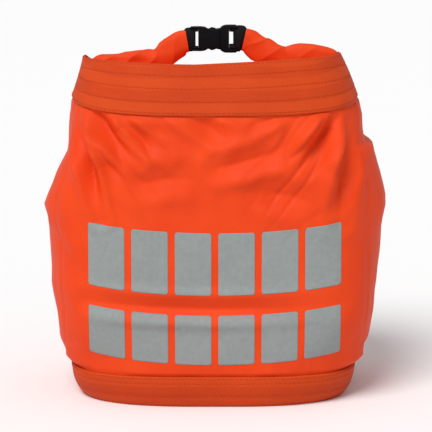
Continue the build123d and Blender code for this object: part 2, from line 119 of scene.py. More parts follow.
def grid_object(name, grid, across, along):
    """Makes a surface from a grid of points, closed round its second direction.

    across and along hold each point's place on the cloth in millimetres, for the weave. The last column
    repeats the first, so that the weave has no jump at the seam.
    """
    rows, columns = grid.shape[:2]
    verts = grid.reshape(-1, 3)
    uvs = np.stack([across, along], axis=-1).reshape(-1, 2) * MM
    faces = []
    for row in range(rows - 1):
        start = row * columns
        for column in range(columns - 1):
            low = start + column
            faces.append((low, low + 1, low + columns + 1, low + columns))
    obj = add_object(name, verts, faces, uvs)
    shape = bmesh.new()
    shape.from_mesh(obj.data)
    bmesh.ops.remove_doubles(shape, verts=shape.verts, dist=1e-6)
    bmesh.ops.recalc_face_normals(shape, faces=shape.faces)
    shape.to_mesh(obj.data)
    shape.free()
    return obj


def thicken(obj, thickness, outward=-1.0):
    """Gives a sheet its thickness, on the inside of the surface by default."""
    solid = obj.modifiers.new("thickness", "SOLIDIFY")
    solid.thickness = thickness * MM
    solid.offset = outward
    solid.use_even_offset = False
    bpy.context.view_layer.objects.active = obj
    with bpy.context.temp_override(object=obj, active_object=obj, selected_objects=[obj]):
        bpy.ops.object.modifier_apply(modifier=solid.name)


def lengths(grid, axis):
    """Distance run along a grid in one direction, starting at 0."""
    steps = np.linalg.norm(np.diff(grid, axis=axis), axis=-1)
    start = np.zeros_like(np.take(steps, [0], axis=axis))
    return np.concatenate([start, np.cumsum(steps, axis=axis)], axis=axis)


# ------------------------------------------------------------------ materials
def new_material(name):
    """An empty node material with its shader."""
    material = bpy.data.materials.new(name)
    material.use_nodes = True
    nodes, links = material.node_tree.nodes, material.node_tree.links
    return material, nodes, links, nodes["Principled BSDF"]


def math_node(nodes, links, operation, first, second=None):
    """A math node fed by sockets or numbers; returns its output."""
    node = nodes.new("ShaderNodeMath")
    node.operation = operation
    for socket, value in zip(node.inputs, (first, second)):
        if value is None:
            continue
        if isinstance(value, (int, float)):
            socket.default_value = value
        else:
            links.new(value, socket)
    return node.outputs[0]


def noise_node(nodes, links, vector, scale, detail=3.0):
    """A noise texture's factor, at a scale in features per metre."""
    node = nodes.new("ShaderNodeTexNoise")
    node.inputs["Scale"].default_value = scale
    node.inputs["Detail"].default_value = detail
    links.new(vector, node.inputs["Vector"])
    return node.outputs["Fac"]


def mix_colours(nodes, links, factor, dark, light):
    """A colour between two, by a factor."""
    node = nodes.new("ShaderNodeMix")
    node.data_type = "RGBA"
    links.new(factor, node.inputs["Factor"])
    for socket, colour in ((node.inputs["A"], dark), (node.inputs["B"], light)):
        if isinstance(colour, tuple):
            socket.default_value = (*colour, 1.0)
        else:
            links.new(colour, socket)
    return node.outputs["Result"]


def bump_chain(nodes, links, shader, layers):
    """Stacks bumps of (height, strength, distance) on a shader's normal."""
    normal = None
    for height, strength, distance in layers:
        node = nodes.new("ShaderNodeBump")
        node.inputs["Strength"].default_value = strength
        node.inputs["Distance"].default_value = distance
        links.new(height, node.inputs["Height"])
        if normal is not None:
            links.new(normal, node.inputs["Normal"])
        normal = node.outputs["Normal"]
    links.new(normal, shader.inputs["Normal"])


def cloth_coordinates(nodes, links):
    """The place on the cloth in metres: the vector, and its two parts."""
    place = nodes.new("ShaderNodeTexCoord").outputs["UV"]
    parts = nodes.new("ShaderNodeSeparateXYZ")
    links.new(place, parts.inputs[0])
    return place, parts.outputs["X"], parts.outputs["Y"]


def threads(nodes, links, coordinate, pitch):
    """Rounded threads across a coordinate, from 0 to 1."""
    turn = math_node(nodes, links, "MULTIPLY", coordinate, math.pi / pitch)
    return math_node(nodes, links, "ABSOLUTE", math_node(nodes, links, "SINE", turn))


NYLON_WEAVE = 0.0007           # thread pitches, in metres
RIB_PITCH = 0.0013
TWILL_PITCH = 0.0021
YARN_PITCH = 0.0009
BRAID_PITCH = 0.003


def nylon_material():
    """Coated orange-red nylon: tight plain weave under a slightly glossy coat."""
    material, nodes, links, shader = new_material("coated_nylon")
    place, across, along = cloth_coordinates(nodes, links)
    body = nodes.new("ShaderNodeTexCoord").outputs["Object"]
    cloud = noise_node(nodes, links, body, 18.0, 4.0)
    fleck = noise_node(nodes, links, place, 900.0, 2.0)
    tone = math_node(nodes, links, "ADD", math_node(nodes, links, "MULTIPLY", cloud, 0.7),
                     math_node(nodes, links, "MULTIPLY", fleck, 0.3))
    colour = mix_colours(nodes, links, tone, (0.64, 0.036, 0.005), (0.86, 0.075, 0.012))
    links.new(colour, shader.inputs["Base Color"])
    rough = nodes.new("ShaderNodeMapRange")
    rough.inputs["To Min"].default_value = 0.46
    rough.inputs["To Max"].default_value = 0.62
    links.new(cloud, rough.inputs["Value"])
    links.new(rough.outputs[0], shader.inputs["Roughness"])
    shader.inputs["Specular IOR Level"].default_value = 0.12
    weave = math_node(nodes, links, "MULTIPLY", threads(nodes, links, across, NYLON_WEAVE),
                      threads(nodes, links, along, NYLON_WEAVE))
    crinkle = noise_node(nodes, links, body, 70.0, 5.0)
    bump_chain(nodes, links, shader, [(crinkle, 0.35, 0.0012), (weave, 0.25, 0.00012)])
    return material


def webbing_material(name, dark, light, panels, width):
    """Woven webbing: lengthwise panels of two tones, ribs across and fine yarns along."""
    material, nodes, links, shader = new_material(name)
    place, around, across = cloth_coordinates(nodes, links)
    body = nodes.new("ShaderNodeTexCoord").outputs["Object"]
    share = math_node(nodes, links, "MULTIPLY", across, panels / width)
    odd = math_node(nodes, links, "SINE", math_node(nodes, links, "MULTIPLY", share, math.pi))
    panel = nodes.new("ShaderNodeMapRange")
    panel.inputs["From Min"].default_value = -0.25
    panel.inputs["From Max"].default_value = 0.25
    links.new(odd, panel.inputs["Value"])
    cloud = noise_node(nodes, links, body, 26.0, 3.0)
    yarn = noise_node(nodes, links, place, 700.0, 2.0)
    tone = math_node(nodes, links, "ADD", math_node(nodes, links, "MULTIPLY", panel.outputs[0], 0.17),
                     math_node(nodes, links, "MULTIPLY", cloud, 0.34))
    tone = math_node(nodes, links, "ADD", tone, math_node(nodes, links, "MULTIPLY", yarn, 0.45))
    links.new(mix_colours(nodes, links, tone, dark, light), shader.inputs["Base Color"])
    shader.inputs["Roughness"].default_value = 0.62
    shader.inputs["Specular IOR Level"].default_value = 0.16
    ribs = threads(nodes, links, around, RIB_PITCH)
    skew = math_node(nodes, links, "ADD", around, math_node(nodes, links, "MULTIPLY", across, 0.8))
    twill = threads(nodes, links, skew, TWILL_PITCH)
    yarns = threads(nodes, links, across, YARN_PITCH)
    cloth = math_node(nodes, links, "MULTIPLY", ribs, yarns)
    bump_chain(nodes, links, shader, [(cloud, 0.2, 0.001), (twill, 0.35, 0.0003), (cloth, 0.6, 0.00035)])
    return material


def speckled_material(name, dark, light, roughness, grain_scale, metal=0.0, bump=0.15, coat=0.0):
    """A plastic, metal or film finish with fine mottling in colour, roughness and surface."""
    material, nodes, links, shader = new_material(name)
    body = nodes.new("ShaderNodeTexCoord").outputs["Object"]
    cloud = noise_node(nodes, links, body, grain_scale / 12, 3.0)
    fine = noise_node(nodes, links, body, grain_scale, 4.0)
    links.new(mix_colours(nodes, links, cloud, dark, light), shader.inputs["Base Color"])
    rough = nodes.new("ShaderNodeMapRange")
    rough.inputs["To Min"].default_value = roughness * 0.8
    rough.inputs["To Max"].default_value = roughness * 1.25
    links.new(fine, rough.inputs["Value"])
    links.new(rough.outputs[0], shader.inputs["Roughness"])
    shader.inputs["Specular IOR Level"].default_value = 0.5 if metal else 0.09
    shader.inputs["Metallic"].default_value = metal
    shader.inputs["Coat Weight"].default_value = coat
    bump_chain(nodes, links, shader, [(fine, bump, 0.0004)])
    return material


def rope_material():
    """Braided polyester rope, by slanting strands in the object's own space, with painted shade in the grooves
    between the strands.
    """
    material, nodes, links, shader = new_material("braided_rope")
    body = nodes.new("ShaderNodeTexCoord").outputs["Object"]
    parts = nodes.new("ShaderNodeSeparateXYZ")
    links.new(body, parts.inputs[0])
    lengthways = math_node(nodes, links, "ADD", parts.outputs["X"], parts.outputs["Y"])
    slant = math_node(nodes, links, "ADD", lengthways, parts.outputs["Z"])
    counter = math_node(nodes, links, "SUBTRACT", lengthways, parts.outputs["Z"])
    braid = math_node(nodes, links, "MULTIPLY", threads(nodes, links, slant, BRAID_PITCH),
                      threads(nodes, links, counter, BRAID_PITCH))
    # The grooves between strands take the dark colour and the crests the light one: painted shade in the
    # grooves.
    links.new(mix_colours(nodes, links, braid, (0.42, 0.38, 0.29), (0.78, 0.74, 0.62)),
              shader.inputs["Base Color"])
    shader.inputs["Roughness"].default_value = 0.75
    bump_chain(nodes, links, shader, [(braid, 0.6, 0.0008)])
    return material


NYLON = nylon_material()
BAND_WEBBING = webbing_material("orange_webbing", (0.43, 0.028, 0.003), (0.76, 0.082, 0.009),
                                BAND_PANELS, 0.050)
TAB_WEBBING = webbing_material("black_webbing", (0.002, 0.002, 0.003), (0.008, 0.008, 0.010), 3, 0.020)
# The thread is darker than the webbing: partly its own colour, partly painted shade of the shadowed stitch
# holes.
THREAD_WITH_HOLE_SHADE = speckled_material("orange_thread_with_hole_shade", (0.40, 0.032, 0.008), (0.58, 0.065, 0.015), 0.6, 900)
REFLECTIVE = speckled_material("reflective_print", (0.225, 0.250, 0.245), (0.300, 0.320, 0.315), 0.42, 2600,
                               bump=0.25)
PLASTIC = speckled_material("buckle_plastic", (0.002, 0.002, 0.003), (0.005, 0.005, 0.007), 0.36, 1500,
                            bump=0.12)
PLUG = speckled_material("plug_plastic", (0.02, 0.02, 0.02), (0.05, 0.05, 0.05), 0.5, 1200)
ALUMINIUM = speckled_material("drawn_aluminium", (0.60, 0.61, 0.62), (0.78, 0.79, 0.80), 0.32, 1600,
                              metal=1.0)
STEEL = speckled_material("plated_steel", (0.45, 0.45, 0.44), (0.62, 0.62, 0.61), 0.28, 2200, metal=1.0)
ROPE = rope_material()
SLOT_MATERIALS = {
    "coated_nylon": NYLON, "orange_webbing": BAND_WEBBING, "reflective_print": REFLECTIVE,
    "black_webbing": TAB_WEBBING, "buckle_plastic": PLASTIC, "rung_aluminium": ALUMINIUM,
    "plug_plastic": PLUG, "screw_steel": STEEL, "rope": ROPE, "swage_aluminium": ALUMINIUM,
    "carabiner_aluminium": ALUMINIUM, "gate_steel": STEEL,
}


def dress(obj, material, slot, body, *nodes):
    """Gives a new piece its material and its body, and hides the imported nodes it stands for; slot is not
    used.
    """
    obj.data.materials.clear()
    obj.data.materials.append(material)
    if body is not None:
        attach(obj, body)
    if nodes:
        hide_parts(*nodes)


# ------------------------------------------------------------------ bag
# Level, then how far the cloth reaches to the left, right, front and back
BODY_ROWS = np.array([
    (BASE_TOP - 3, 140.0, 138.0, 98.5, 98.0),
    (BASE_TOP + 1, 143.0, 140.5, 100.5, 99.5),
    (45.0, 150.0, 147.0, 102.5, 102.0),
    (57.0, 154.5, 152.5, 103.5, 103.0),
    (84.0, 156.0, 157.0, 104.5, 104.0),
    (112.0, 161.0, 160.0, 104.5, 104.5),
    (140.0, 162.5, 163.0, 104.0, 104.0),
    (166.0, 164.0, 164.5, 103.0, 103.5),
    (179.0, 166.3, 166.8, 102.5, 103.0),
    (188.0, 168.6, 168.5, 102.0, 102.5),
    (198.0, 164.8, 168.0, 101.5, 102.0),
    (221.0, 155.4, 163.5, 100.5, 101.0),
    (240.0, 145.0, 158.0, 99.5, 99.5),
    (246.0, 143.8, 156.6, 99.0, 98.5),
    (252.5, 143.3, 147.0, 98.5, 98.0),
    (264.0, 142.6, 145.4, 97.8, 97.0),
    (277.0, 141.8, 144.3, 97.0, 95.5),
    (MOUTH_FOOT + 4, 140.2, 140.5, 93.5, 92.0),
])
# Half width of the front and back panels, whose edges show as creases beside the bulging gussets
PANEL_ROWS = np.array([(BASE_TOP, 141.0), (57.0, 149.0), (110.0, 152.0), (190.0, 150.0), (220.0, 147.0),
                       (250.0, 143.5), (MOUTH_FOOT + 4, 140.5)])
GUSSET_REACH = 70.0            # half depth of the gussets' bulge
GUSSET_MIDDLE = 6.0            # its middle's Y
SEAM_AT = 0.962                # the corner seams, as a share of the half width


def row_value(column, level):
    """One of the body's reaches at a level, between its rows."""
    return np.interp(level, BODY_ROWS[:, 0], BODY_ROWS[:, column])


def rung_ends():
    """Each rung's middle height and depth, and where its two plugged ends are, in millimetres."""
    ends = []
    for number in range(1, 13):
        low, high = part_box(f"rung_{number:02d}")
        ends.append(((low.z + high.z) / 2 / MM, (low.y + high.y) / 2 / MM, low.x / MM, high.x / MM))
    return ends


RUNG_ENDS = rung_ends()
PLUG_HEAD = 3.0                # how far a plug stands out of its rung
PLUG_CLEARANCE = 1.3           # between a plug and the cloth over it
PLUG_REACH = 14.5              # radius of the cloth that a plug holds flat


def pushed_out(y, level, right):
    """How far out the rung ends hold the cloth at a side, falling away round each of them."""
    reach = np.full(np.broadcast(y, level).shape, 0.0)
    for height, depth, left_end, right_end in RUNG_ENDS:
        end = right_end if right else -left_end
        away = np.maximum(np.hypot(y - depth, level - height) - PLUG_REACH, 0.0)
        reach = np.maximum(reach, end + PLUG_HEAD + PLUG_CLEARANCE - 0.62 * away ** 0.97)
    return reach


def plan(angle, power=PLAN_POWER):
    """A unit rounded rectangle at an angle: its x and its y."""
    cosine, sine = np.cos(angle), np.sin(angle)
    reach = (np.abs(cosine) ** power + np.abs(sine) ** power) ** (-1 / power)
    return reach * cosine, reach * sine


# Creases of the slack cloth below the mouth band: points (x, level), half width and depth, on the front
FRONT_CREASES = [
    ([(-138, 290), (-131, 262), (-122, 236), (-114, 208), (-109, 186)], 6.0, 6.2),
    ([(-117, 290), (-103, 270), (-90, 256), (-76, 243)], 7.0, 4.5),
    ([(-98, 288), (-84, 272), (-66, 258), (-46, 248)], 6.0, 2.2),
    ([(125, 290), (113, 272), (99, 254), (84, 236)], 8.5, 5.0),
    ([(134, 284), (127, 266), (120, 248), (114, 232)], 6.0, 4.0),
    ([(140, 284), (133, 250), (126, 224), (121, 200), (119, 182)], 8.0, 5.6),
    ([(4, 236), (28, 241), (50, 248), (68, 258)], 9.0, 2.6),
    ([(-30, 288), (-8, 276), (12, 262), (22, 250)], 8.0, 2.0),
    ([(60, 290), (46, 280), (30, 274)], 6.0, 1.6),
    ([(-70, 220), (-40, 226), (-10, 224)], 10.0, 1.6),
    ([(40, 214), (72, 208), (100, 200)], 11.0, 1.8),
    ([(-124, 106), (-60, 101), (0, 99), (60, 100), (124, 105)], 7.5, 1.9),
]
BACK_CREASES = [
    ([(-128, 286), (-118, 262), (-104, 240), (-96, 214)], 7.0, 5.0),
    ([(-96, 288), (-82, 262), (-58, 240)], 7.0, 3.4),
    ([(-50, 288), (-38, 266), (-34, 246)], 8.0, 2.6),
    ([(30, 288), (18, 264), (14, 240)], 8.0, 2.8),
    ([(84, 288), (74, 262), (52, 238)], 7.0, 3.6),
    ([(130, 286), (120, 258), (112, 232), (108, 204)], 7.0, 5.0),
    ([(-90, 190), (-30, 198), (40, 194), (100, 184)], 12.0, 1.8),
    ([(-110, 110), (-40, 104), (50, 106), (110, 112)], 10.0, 1.6),
    ([(-60, 60), (0, 66), (64, 60)], 9.0, 1.4),
]


CREASE_ROUNDING = 1.7          # radius of a valley's bottom, a little over the grid's spacing
CREASE_STRENGTH = 2.95


def crease_depth(x, level, creases):
    """How far the cloth falls in at creases: a sharp valley between two soft ridges."""
    total = np.zeros_like(x)
    for points, width, depth in creases:
        path = np.array(points, dtype=float)
        steps = np.linalg.norm(np.diff(path, axis=0), axis=1)
        run = np.concatenate([[0.0], np.cumsum(steps)])
        nearest = np.full_like(x, 1e9)
        place = np.zeros_like(x)
        for index in range(len(path) - 1):
            leg = path[index + 1] - path[index]
            share = ((x - path[index, 0]) * leg[0] + (level - path[index, 1]) * leg[1]) / (leg @ leg)
            share = np.clip(share, 0.0, 1.0)
            away = np.hypot(x - path[index, 0] - share * leg[0], level - path[index, 1] - share * leg[1])
            closer = away < nearest
            nearest = np.where(closer, away, nearest)
            place = np.where(closer, run[index] + share * steps[index], place)
        fade = 0.55 + 0.45 * smooth(place, 0.0, 0.25 * run[-1])
        fade = fade * (1 - smooth(place, 0.45 * run[-1], run[-1]) * 0.85)
        across = np.hypot(nearest, CREASE_ROUNDING) / width
        valley = np.exp(-1.3 * across) - 0.60 * np.exp(-((across - 1.9) / 0.8) ** 2)
        total += CREASE_STRENGTH * depth * fade * valley
    return total


def bag_surface(angle, level):
    """Points of the bag's cloth at angles round it and levels up it, in millimetres."""
    power = 3.2 + 1.6 * smooth(level, 42.0, 90.0) * (1 - smooth(level, 215.0, MOUTH_FOOT))
    unit_x, unit_y = plan(angle, power)
    panel = np.interp(level, PANEL_ROWS[:, 0], PANEL_ROWS[:, 1])
    x = panel * unit_x
    front, back = row_value(3, level), row_value(4, level)
    y = np.where(unit_y < 0, front, back) * unit_y
    gusset = np.exp(-((y - GUSSET_MIDDLE) / GUSSET_REACH) ** 4) * smooth(np.abs(unit_x), 0.80, 0.985)
    left, right = row_value(1, level), row_value(2, level)
    x = x + np.where(unit_x < 0, -(left - panel), right - panel) * gusset
    held = smooth(level, BASE_TOP - 2, 43.0) * (1 - smooth(level, 236.0, 262.0))
    held = held * smooth(np.abs(unit_x), 0.8, 0.97)
    reach = np.where(unit_x < 0, pushed_out(y, level, False), pushed_out(y, level, True))
    x = x + np.sign(unit_x) * np.maximum(reach - np.abs(x), 0.0) * held
    flat = smooth(np.abs(unit_y), 0.55, 0.95)
    inward = np.where(unit_y < 0, crease_depth(x, level, FRONT_CREASES),
                      crease_depth(x, level, BACK_CREASES)) * flat
    slack = smooth(level, 150.0, 250.0)
    broad = grain(x + 9.0, y, 1.3 * level, 46.0) * (1.4 + 2.6 * slack) * (0.25 + 0.75 * flat)
    fine = grain(x, y + 31.0, level * 0.75, 17.0) * (0.4 + 1.1 * slack) * (0.4 + 0.6 * flat)
    seam = np.exp(-(level - BASE_TOP) / 9.0) + np.exp(-(MOUTH_FOOT - level) / 12.0)
    pucker = 1.1 * seam * grain(x * 2.2, y * 2.2, level * 0.3, 15.0)
    side_fold = smooth(np.abs(unit_x), 0.9, 1.0) * 1.8 * np.abs(grain(y * 0.9, x * 0.2, level * 0.5, 21.0))
    # Thin wrinkles that run down and inward from the corners of the mouth
    side = np.abs(x)
    along = (-0.55 * side - 0.83 * level) / 62.0
    across = (0.83 * side - 0.55 * level) / 15.0
    lines = np.abs(grain(along, across, np.sign(x) * 3.1 + np.sign(y) * 1.7, 1.0))
    wrinkle = 2.7 * np.clip(0.30 - lines, 0, 1) / 0.30 * flat * slack * smooth(side, 15.0, 70.0)
    seam_line = 0.9 * np.exp(-((np.abs(unit_x) - SEAM_AT) / 0.006) ** 2)
    push = -inward - wrinkle - seam_line + broad + fine + side_fold + pucker
    # The plan's outward direction
    out_x = np.sign(unit_x) * np.abs(unit_x) ** (power - 1) / panel
    out_y = np.sign(unit_y) * np.abs(unit_y) ** (power - 1) / front
    size = np.hypot(out_x, out_y)
    return np.stack([x + push * out_x / size, y + push * out_y / size, level + 0 * x], axis=-1)


def even_angles(count, power=PLAN_POWER):
    """Angles whose points are evenly spaced round the plan, starting at the middle of the back."""
    turns = np.linspace(0.5 * math.pi, 2.5 * math.pi, 4001)
    x, y = plan(turns, power)
    run = np.concatenate([[0.0], np.cumsum(np.hypot(np.diff(x * 150), np.diff(y * 100)))])
    return np.interp(np.linspace(0, run[-1], count), run, turns)


def make_bag():
    """The cloth body, from inside the base band to inside the mouth band."""
    angles = even_angles(421)
    levels = np.linspace(0.0, 1.0, 196)
    angle, share = np.meshgrid(angles, levels)
    band_foot = rim_plan(angle, 0 * angle)[..., 2]
    level = BASE_TOP - 2.5 + (band_foot + 6.5 - BASE_TOP) * share
    grid = bag_surface(angle, level)
    tucked = np.array([0.990, 0.986, 1.0])     # the cloth lies just inside both bands
    under_mouth = rim_plan(angle, np.clip((level - band_foot) / 48.0, 0.0, 0.1)) * tucked
    under_base = foot_plan(angle, np.clip((level - FLOOR) / (BASE_TOP - FLOOR), 0.0, 1.0)) * tucked
    to_mouth = smooth(level, band_foot - 6.0, band_foot + 0.5)[..., None]
    to_base = 1 - smooth(level, BASE_TOP + 0.6, BASE_TOP + 4.5)[..., None]
    grid[..., :2] += ((under_mouth - grid) * to_mouth)[..., :2]
    grid[..., :2] += ((under_base - grid) * to_base)[..., :2]
    grid[:, -1] = grid[:, 0]
    obj = grid_object("bag_body", grid, lengths(grid, 1), lengths(grid, 0))
    return obj, grid


# ------------------------------------------------------------------ bands
# How far the mouth band reaches to each side at its foot, how much more at its rim, and its bow between them
MOUTH_REACH = {"left": (139.6, -11.2, -0.8), "right": (139.2, -17.4, 1.2),
               "front": (95.2, -24.5, 1.2), "back": (94.0, -31.0, 0.0)}
FOOT_LEFT, FOOT_RIGHT, FOOT_DEPTH = 142.2, 139.2, 100.0


def mouth_reach(side, share):
    """How far the mouth band reaches to a side, at a share of the way up it."""
    foot, change, bow = MOUTH_REACH[side]
    return foot + change * share + bow * share * (1 - share) * 4


def rim_plan(angle, share):
    """The mouth band's middle line at a share of the way up it, in millimetres."""
    unit_x, unit_y = plan(angle, 3.3 - 1.0 * share)
    x = np.where(unit_x < 0, mouth_reach("left", share), mouth_reach("right", share)) * unit_x
    y = np.where(unit_y < 0, mouth_reach("front", share), mouth_reach("back", share)) * unit_y
    ahead = np.clip(-unit_y, 0, 1) ** 2
    behind = smooth(unit_y, 0.0, 0.85)
    lean = 5.5 * np.clip(unit_x + 0.15, 0, 0.8) / 0.8
    low = MOUTH_FOOT + 8.0 - 10.5 * ahead - 6.0 * behind
    high = RIM + 1.0 + 2.0 * np.clip(unit_x, 0, 1) ** 3 - (3.4 - lean) * ahead - 17.0 * behind
    z = low + (high - low) * share
    wave = 0.9 * np.sin(5 * angle + 0.8) + 0.6 * np.sin(11 * angle)
    out = wave * (0.3 + 0.7 * share) * smooth(np.abs(unit_y), 0.4, 1.0)
    return np.stack([x, y - out * np.sign(unit_y), z + 0.5 * np.sin(3 * angle + 1.0) * share], axis=-1)


def foot_plan(angle, share):
    """The base band's middle line at a share of the way up it, tucked under at the floor."""
    unit_x, unit_y = plan(angle, 2.9 + 0.5 * share)
    tuck = 8.5 * (1 - share) ** 2.8 + 1.6 * (1 - share)
    x = (np.where(unit_x < 0, FOOT_LEFT, FOOT_RIGHT) - tuck) * unit_x
    y = (FOOT_DEPTH - tuck) * unit_y
    low = FLOOR + 0.15
    z = low + (BASE_TOP + 0.6 - low) * share
    ripple = 0.5 * np.sin(9 * angle) * np.sin(math.pi * share) + 0.35 * np.sin(23 * angle + 1) * share
    return np.stack([x + ripple * unit_x, y + ripple * unit_y, z], axis=-1)


def outward_of(centre):
    """Unit outward normals of a band's middle surface, grid rows going up and columns going round."""
    up = np.gradient(centre, axis=0)
    round_it = np.gradient(centre, axis=1)
    round_it[:, 0] = round_it[:, -1] = centre[:, 1] - centre[:, -2]
    normal = np.cross(round_it, up)
    normal /= np.linalg.norm(normal, axis=-1, keepdims=True)
    facing = np.sign(np.sum(normal[..., :2] * centre[..., :2], axis=-1, keepdims=True).mean())
    return normal * facing


PANEL_RISE = 0.42              # how far a panel stands out between its grooves


def padding(lobes, share):
    """How full a band's panels are at a share of the way up it: 0 in a groove, 1 in a panel's middle."""
    return np.abs(np.sin(math.pi * lobes * share)) ** 0.45


def make_band(name, surface, visible, node):
    """A webbing band: panels with stitched grooves between them and rounded edges, and its stitches."""
    angles = even_angles(341, 3.8)
    shares = np.linspace(0, 1, 41)
    angle, share = np.meshgrid(angles, shares)
    centre = surface(angle, share)
    normal = outward_of(centre)
    lobes = BAND_PANELS * visible
    edge = smooth(share, 0.0, 0.05) * (1 - smooth(share, 0.95, 1.0))
    outward = WEBBING * (0.25 + 0.45 * edge) + PANEL_RISE * padding(lobes, share) * edge
    outer = centre + normal * outward[..., None]
    inner = centre - normal * (0.45 * WEBBING)
    around = lengths(centre, 1)
    across = lengths(centre, 0)
    grid = np.concatenate([outer, inner[::-1], outer[:1]], axis=0)
    around = np.concatenate([around, around[::-1], around[:1]], axis=0)
    across = np.concatenate([across, across[::-1], across[:1]], axis=0)
    grid[:, -1] = grid[:, 0]
    band = grid_object(name, grid, around, across)
    dress(band, BAND_WEBBING, "orange_webbing", BAG, node)
    rows = [0.045] + [line / lobes + 0.014 for line in range(1, math.ceil(lobes))] + [0.955]
    make_stitches(f"{name}_stitches", surface, rows, lobes)


STITCH_PITCH = 4.4
STITCH_HALF = 1.45             # half a stitch's length
STITCH_RADIUS = 0.34
STITCH_SIDES = 6


def make_stitches(name, surface, rows, lobes):
    """Rows of short thread stitches on a band: small beads, closed at both ends."""
    rings = ((-1.0, 0.45), (-0.5, 1.0), (0.5, 1.0), (1.0, 0.45))
    verts, faces = [], []
    fine_angles = even_angles(1601, 3.8)
    for row in rows:
        share = np.full_like(fine_angles, row)
        lift = 0.7 * WEBBING + PANEL_RISE * padding(lobes, row) + 0.03
        centre = surface(fine_angles[None, :], share[None, :])[0]
        above = surface(fine_angles[None, :], share[None, :] + 0.01)[0]
        run = np.concatenate([[0.0], np.cumsum(np.linalg.norm(np.diff(centre, axis=0), axis=1))])
        count = int(run[-1] / STITCH_PITCH)
        places = (np.arange(count) + 0.5) * run[-1] / count
        here = np.stack([np.interp(places, run, centre[:, axis]) for axis in range(3)], axis=-1)
        ahead = np.stack([np.interp(places + 0.6, run, centre[:, axis]) for axis in range(3)], axis=-1)
        over = np.stack([np.interp(places, run, above[:, axis]) for axis in range(3)], axis=-1)
        tangent = ahead - here
        tangent /= np.linalg.norm(tangent, axis=1, keepdims=True)
        upward = over - here
        upward /= np.linalg.norm(upward, axis=1, keepdims=True)
        normal = np.cross(tangent, upward)
        normal *= np.sign(np.sum(normal * here * [1, 1, 0], axis=1, keepdims=True))
        for index in range(count):
            middle = here[index] + normal[index] * lift
            base = len(verts)
            for along, size in rings:
                for corner in range(STITCH_SIDES):
                    turn = 2 * math.pi * corner / STITCH_SIDES
                    verts.append(middle + tangent[index] * (along * STITCH_HALF)
                                 + upward[index] * (STITCH_RADIUS * 1.2 * size * math.cos(turn))
                                 + normal[index] * (STITCH_RADIUS * size * math.sin(turn)))
            for ring in range(len(rings) - 1):
                low = base + ring * STITCH_SIDES
                high = low + STITCH_SIDES
                for corner in range(STITCH_SIDES):
                    following = (corner + 1) % STITCH_SIDES
                    faces.append((low + corner, low + following, high + following, high + corner))
            faces.append(tuple(base + corner for corner in reversed(range(STITCH_SIDES))))
            faces.append(tuple(len(verts) - STITCH_SIDES + corner for corner in range(STITCH_SIDES)))
    # The stitches' darker thread carries painted shade of the stitch holes.
    dress(add_object(name, verts, faces), THREAD_WITH_HOLE_SHADE, "orange_webbing", BAG)


BASE_HALF_WIDTH, BASE_HALF_DEPTH = 131.0, 88.5


def make_base_panel():
    """The bottom of the bag: cloth sewn inside the foot, a little slack in the middle."""
    angles = even_angles(161, 3.1)
    shares = np.linspace(1.0, 0.0, 24)
    angle, share = np.meshgrid(angles, shares)
    unit_x, unit_y = plan(angle, 2.0 + 1.1 * share ** 2)
    x = BASE_HALF_WIDTH * unit_x * share
    y = BASE_HALF_DEPTH * unit_y * share
    z = FLOOR + 0.9 + 1.4 * (1 - share ** 2) + 0.5 * grain(x, y, 0 * x, 25.0) * (1 - share ** 6)
    grid = np.stack([x, y, z], axis=-1)
    grid[:, -1] = grid[:, 0]
    obj = grid_object("base_panel_cloth", grid, x, y)
    thicken(obj, BASE_FABRIC)
    return obj


# ------------------------------------------------------------------ reflective pieces
PIECE_WIDTH = 35.0
PIECES_IN_ROW = 6
ROW_PITCH = 41.5
ROW_CURVE = 7.0                # how much higher a row's outer pieces are than its middle
PIECE_CORNER = 2.6             # size of a piece's eased corners
PRINT_LIFT = 0.35              # how far the film stands in front of the cloth


def make_reflective_row(name, tree):
    """Six plain grey pieces laid on the front of the cloth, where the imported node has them."""
    low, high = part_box(name)
    foot = low.z / MM
    height = (high.z - low.z) / MM - ROW_CURVE * 0.96
    first = -ROW_PITCH * (PIECES_IN_ROW - 1) / 2
    steps_x, steps_z = 34, 54
    verts, faces, uvs = [], [], []
    for piece in range(PIECES_IN_ROW):
        middle = first + piece * ROW_PITCH
        base = len(verts)
        for row in range(steps_z + 1):
            up = row / steps_z
            inset = PIECE_CORNER * max(0.0, abs(2 * up - 1) - 0.93) / 0.07
            half = PIECE_WIDTH / 2 - inset * 0.55
            for column in range(steps_x + 1):
                side = 2 * column / steps_x - 1
                x = middle + side * half
                z = foot + ROW_CURVE * (x / first) ** 2 + up * height
                hit = tree.ray_cast(Vector((x, -200.0, z)) * MM, Vector((0, 1, 0)))[0]
                y = hit.y / MM - PRINT_LIFT if hit else verts[-1][1]
                verts.append((x, y, z))
                uvs.append((x * MM, z * MM))
        for row in range(steps_z):
            for column in range(steps_x):
                corner = base + row * (steps_x + 1) + column
                faces.append((corner, corner + 1, corner + steps_x + 2, corner + steps_x + 1))
    obj = add_object(f"{name}_print", verts, faces, uvs)
    thicken(obj, PRINT)
    dress(obj, REFLECTIVE, "reflective_print", BAG, name)


